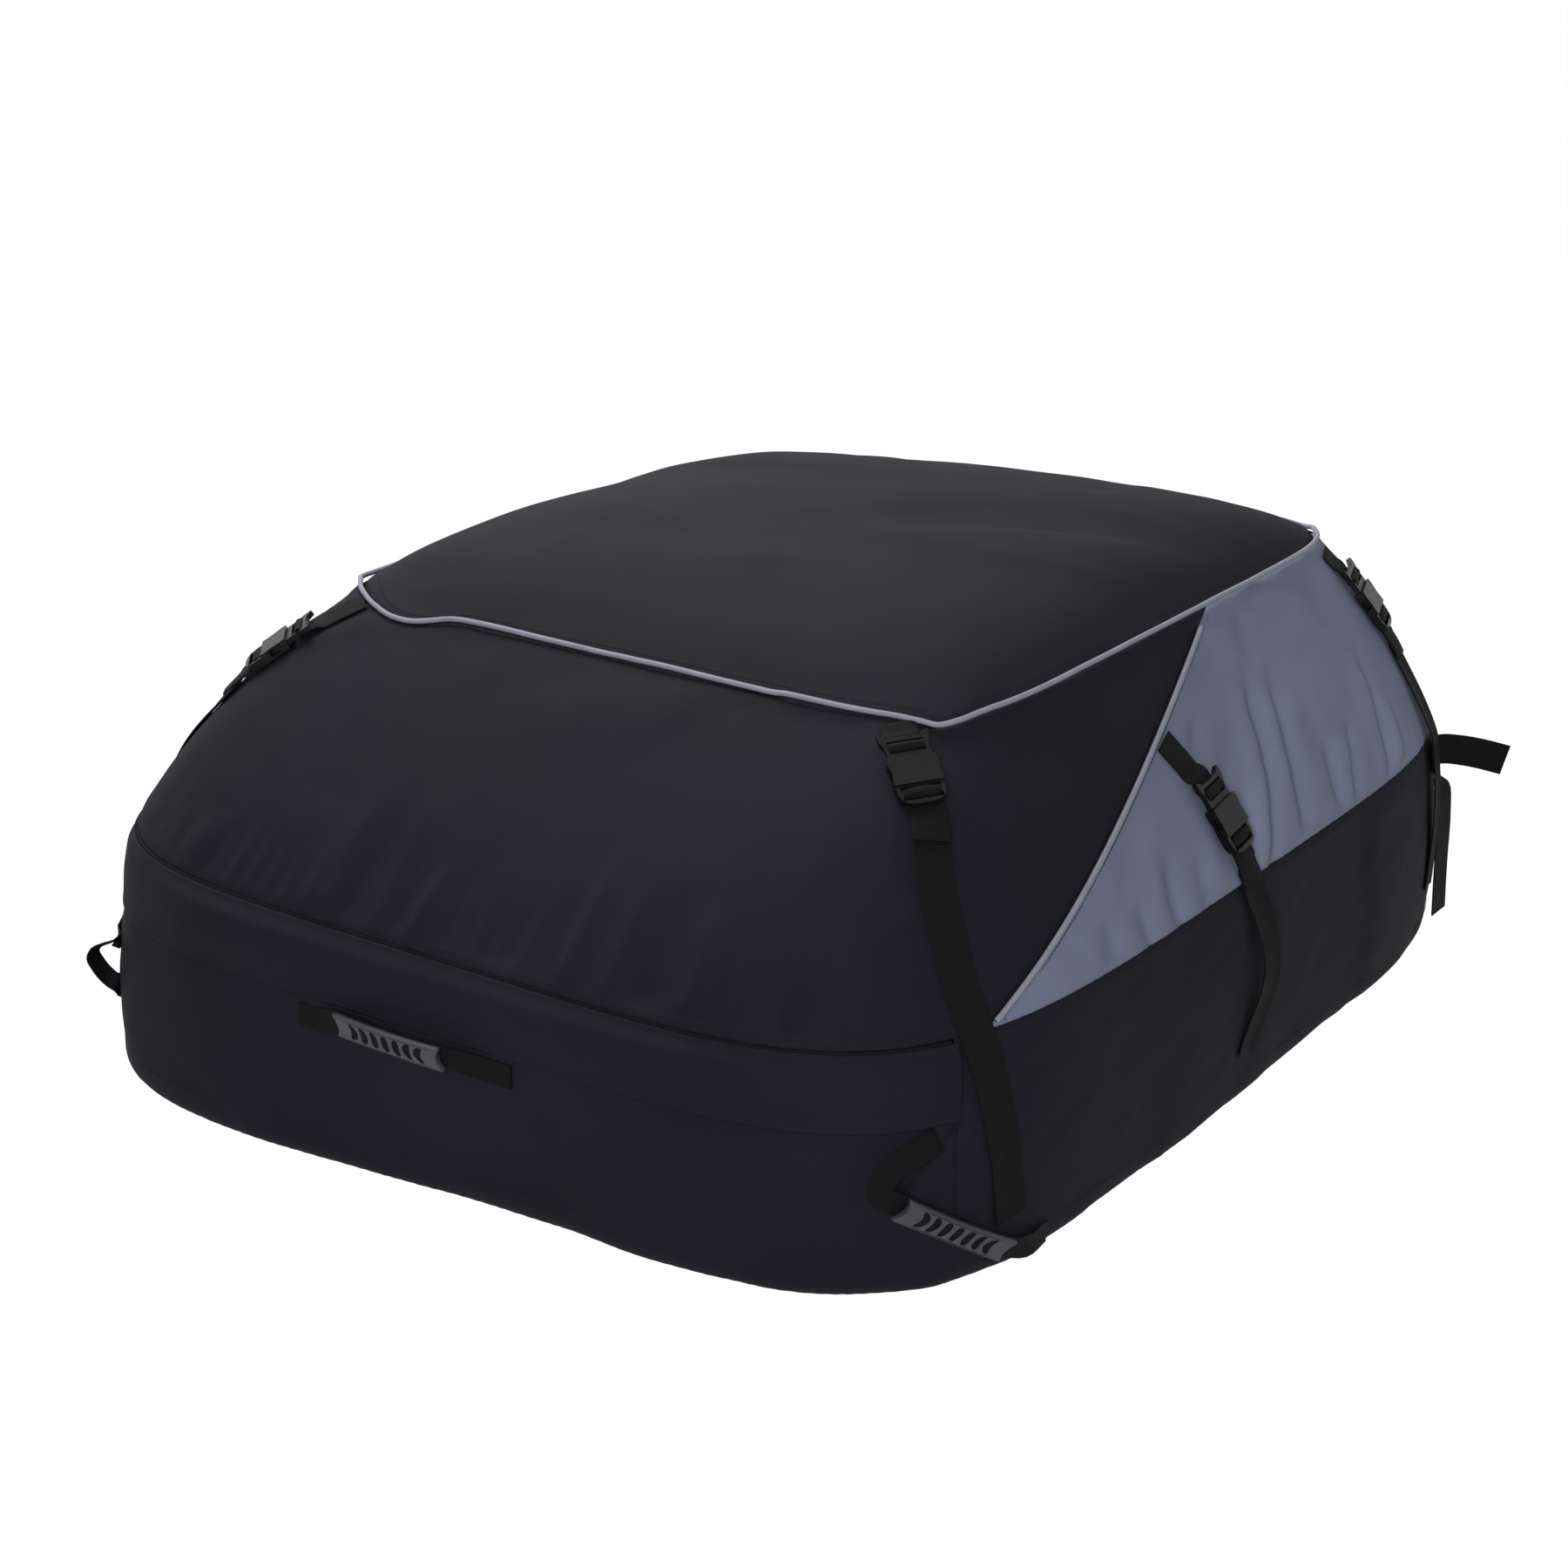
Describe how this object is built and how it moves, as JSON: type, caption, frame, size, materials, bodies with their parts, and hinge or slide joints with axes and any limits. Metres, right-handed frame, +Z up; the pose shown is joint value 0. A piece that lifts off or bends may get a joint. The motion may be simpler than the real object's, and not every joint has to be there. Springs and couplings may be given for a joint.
{
  "type": "roof cargo bag",
  "caption": "Soft bag for a car's roof: a sewn tub, a zipped lid with sloping sides and a domed top, held down by buckled webbing straps, with carrying handles.",
  "frame": {"origin": "middle of the flat underside, between the two sides and between the front and rear walls at the lid seam", "axes": "+X along the front to the right as seen from the front, +Y from the front to the rear, +Z up"},
  "size_m": [0.967, 1.1013, 0.4339],
  "materials": {
    "black_cloth": "coated woven cloth, dull with a faint sheen",
    "grey_cloth": "coated woven cloth, dull",
    "piping_cloth": "smooth cloth over cord",
    "webbing": "close ribbed webbing, dull",
    "buckle_plastic": "moulded, satin",
    "grip_rubber": "soft moulded rubber, dull",
    "zip_tape": "woven tape with a coated coil"
  },
  "bodies": {
    "bag": {"floor_panel": "black_cloth", "tub_wall": "black_cloth", "lid_front_panel": "black_cloth", "side_insert_right": "grey_cloth", "side_insert_left": "grey_cloth", "lid_rear_panel": "black_cloth", "roof_panel": "black_cloth", "roof_piping": "piping_cloth", "insert_piping_right": "piping_cloth", "insert_piping_left": "piping_cloth", "zip_tape": "zip_tape", "zip_flap": "black_cloth", "strap_upper_front_right": "webbing", "buckle_socket_front_right": "buckle_plastic", "strap_lower_front_right": "webbing", "strap_upper_middle_right": "webbing", "buckle_socket_middle_right": "buckle_plastic", "strap_lower_middle_right": "webbing", "strap_upper_rear_right": "webbing", "buckle_socket_rear_right": "buckle_plastic", "strap_lower_rear_right": "webbing", "strap_upper_front_left": "webbing", "buckle_socket_front_left": "buckle_plastic", "strap_lower_front_left": "webbing", "strap_upper_middle_left": "webbing", "buckle_socket_middle_left": "buckle_plastic", "strap_lower_middle_left": "webbing", "strap_upper_rear_left": "webbing", "buckle_socket_rear_left": "buckle_plastic", "strap_lower_rear_left": "webbing", "front_handle_grip": "grip_rubber", "front_handle_webbing": "webbing", "corner_handle_right_grip": "grip_rubber", "corner_handle_right_webbing": "webbing", "corner_handle_left_grip": "grip_rubber", "corner_handle_left_webbing": "webbing", "strap_end_rear_right": "webbing", "strap_tail_rear_right": "webbing"},
    "plug_front_right": {"buckle_plug_front_right": "buckle_plastic"},
    "plug_middle_right": {"buckle_plug_middle_right": "buckle_plastic"},
    "plug_rear_right": {"buckle_plug_rear_right": "buckle_plastic"},
    "plug_front_left": {"buckle_plug_front_left": "buckle_plastic"},
    "plug_middle_left": {"buckle_plug_middle_left": "buckle_plastic"},
    "plug_rear_left": {"buckle_plug_rear_left": "buckle_plastic"},
    "slider_left": {"zip_slider_left": "buckle_plastic", "zip_pull_left": "webbing"},
    "slider_right": {"zip_slider_right": "buckle_plastic", "zip_pull_right": "webbing"}
  },
  "joints": [
    {"name": "plug_front_right_slide", "type": "slide", "parent": "bag", "child": "plug_front_right", "axis": [-0.674, 0.537, 0.5072], "range_m": [0, 0.018], "deforming": ["strap_upper_front_right"]},
    {"name": "plug_middle_right_slide", "type": "slide", "parent": "bag", "child": "plug_middle_right", "axis": [-0.5121, -0.1241, 0.8499], "range_m": [0, 0.018], "deforming": ["strap_upper_middle_right"]},
    {"name": "plug_rear_right_slide", "type": "slide", "parent": "bag", "child": "plug_rear_right", "axis": [-0.5628, -0.2318, 0.7934], "range_m": [0, 0.018], "deforming": ["strap_upper_rear_right"]},
    {"name": "plug_front_left_slide", "type": "slide", "parent": "bag", "child": "plug_front_left", "axis": [0.6204, 0.5342, 0.5741], "range_m": [0, 0.018], "deforming": ["strap_upper_front_left"]},
    {"name": "plug_middle_left_slide", "type": "slide", "parent": "bag", "child": "plug_middle_left", "axis": [0.5118, -0.1991, 0.8357], "range_m": [0, 0.018], "deforming": ["strap_upper_middle_left"]},
    {"name": "plug_rear_left_slide", "type": "slide", "parent": "bag", "child": "plug_rear_left", "axis": [0.6248, -0.2447, 0.7415], "range_m": [0, 0.018], "deforming": ["strap_upper_rear_left"]},
    {"name": "slider_left_run", "type": "slide", "parent": "bag", "child": "slider_left", "axis": [-1, -0.0002, 0], "range_m": [0, 0.2]},
    {"name": "slider_right_run", "type": "slide", "parent": "bag", "child": "slider_right", "axis": [0.9998, 0.019, 0], "range_m": [0, 0.2]}
  ]
}
